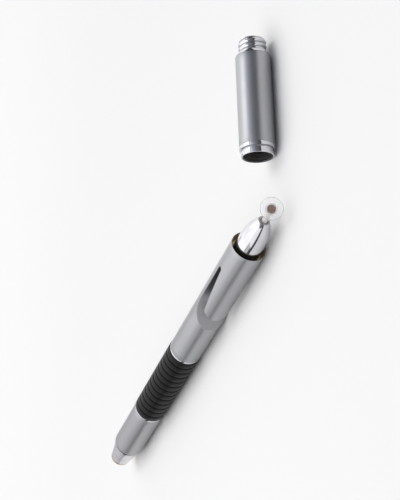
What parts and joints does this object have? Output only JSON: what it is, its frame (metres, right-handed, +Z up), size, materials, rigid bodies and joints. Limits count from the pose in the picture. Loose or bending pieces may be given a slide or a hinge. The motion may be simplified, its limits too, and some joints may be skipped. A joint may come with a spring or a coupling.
{
  "type": "stylus ballpoint pen",
  "caption": "Slim metal twist ballpoint pen with a tilting clear stylus disc, ribbed rubber grip and clip cut from the barrel, its threaded-stub cap lying beside it.",
  "frame": {"origin": "middle of the footprint of the pen and its cap, on the surface that both lie on", "axes": "+X along the pen's axis towards the stylus disc, +Y across the surface towards the cap, +Z up"},
  "size_m": [0.146, 0.0546, 0.0098],
  "materials": {
    "satin_aluminium": "satin anodised gunmetal silver",
    "polished_chrome": "polished plating",
    "black_rubber": "matt moulded",
    "gloss_black": "gloss",
    "clear_plastic": "clear",
    "brown_contact": "satin conductive",
    "turned_brass": "turned",
    "spring_steel": "bright drawn",
    "moulded_plastic": "moulded",
    "ink_tube": "smooth"
  },
  "bodies": {
    "upper_section": {"upper_barrel": "satin_aluminium", "thread_collar": "gloss_black", "stylus_nose": "polished_chrome", "spring_plug": "turned_brass", "cam_sleeve": "turned_brass", "retaining_clip": "spring_steel"},
    "lower_section": {"centre_ring": "polished_chrome", "grip_sleeve": "black_rubber", "lower_ring": "polished_chrome", "lower_barrel": "satin_aluminium", "pen_nose": "polished_chrome"},
    "refill": {"cam_follower": "moulded_plastic", "drive_pin": "spring_steel", "refill_tube": "ink_tube", "refill_tip": "turned_brass", "writing_ball": "spring_steel", "refill_spring": "spring_steel"},
    "stem": {"stylus_stem": "moulded_plastic", "stem_spring": "spring_steel"},
    "ball": {"tip_ball": "spring_steel"},
    "hub": {"disc_hub": "clear_plastic"},
    "disc": {"tip_disc": "clear_plastic", "contact_pad": "brown_contact"},
    "cap": {"cap_tube": "satin_aluminium", "cap_collar": "polished_chrome", "cap_thread_liner": "gloss_black", "cap_end_plug": "polished_chrome"}
  },
  "joints": [
    {"name": "twist", "type": "hinge", "parent": "upper_section", "child": "lower_section", "pos_m": [-0.00669, -0.02241, 0.00488], "axis": [1, 0, 0], "range_deg": [0, 180]},
    {"name": "refill_slide", "type": "slide", "parent": "lower_section", "child": "refill", "axis": [-1, 0, 0], "range_m": [0, 0.0055], "deforming": ["refill_spring"]},
    {"name": "stem_push", "type": "slide", "parent": "upper_section", "child": "stem", "axis": [-1, 0, 0], "range_m": [0, 0.0008], "stiffness_N_per_m": 150, "deforming": ["stem_spring"]},
    {"name": "disc_tilt", "type": "hinge", "parent": "stem", "child": "ball", "pos_m": [0.05741, -0.02241, 0.00488], "axis": [0, -0.5736, -0.8192], "range_deg": [-67, 3]},
    {"name": "disc_sway", "type": "hinge", "parent": "ball", "child": "hub", "pos_m": [0.05741, -0.02241, 0.00488], "axis": [0.5299, 0.6947, -0.4864], "range_deg": [-28, 28]},
    {"name": "disc_spin", "type": "hinge", "parent": "hub", "child": "disc", "pos_m": [0.05741, -0.02241, 0.00488], "axis": [0.848, -0.4341, 0.3039], "continuous": true},
    {"name": "cap_slide", "type": "slide", "parent": "upper_section", "child": "cap", "axis": [0.3633, 0.9317, 0], "range_m": [0, 0.02]}
  ],
  "couplings": [
    {"joint": "refill_slide", "follows": "twist", "m_per_rad": 0.0017507}
  ]
}
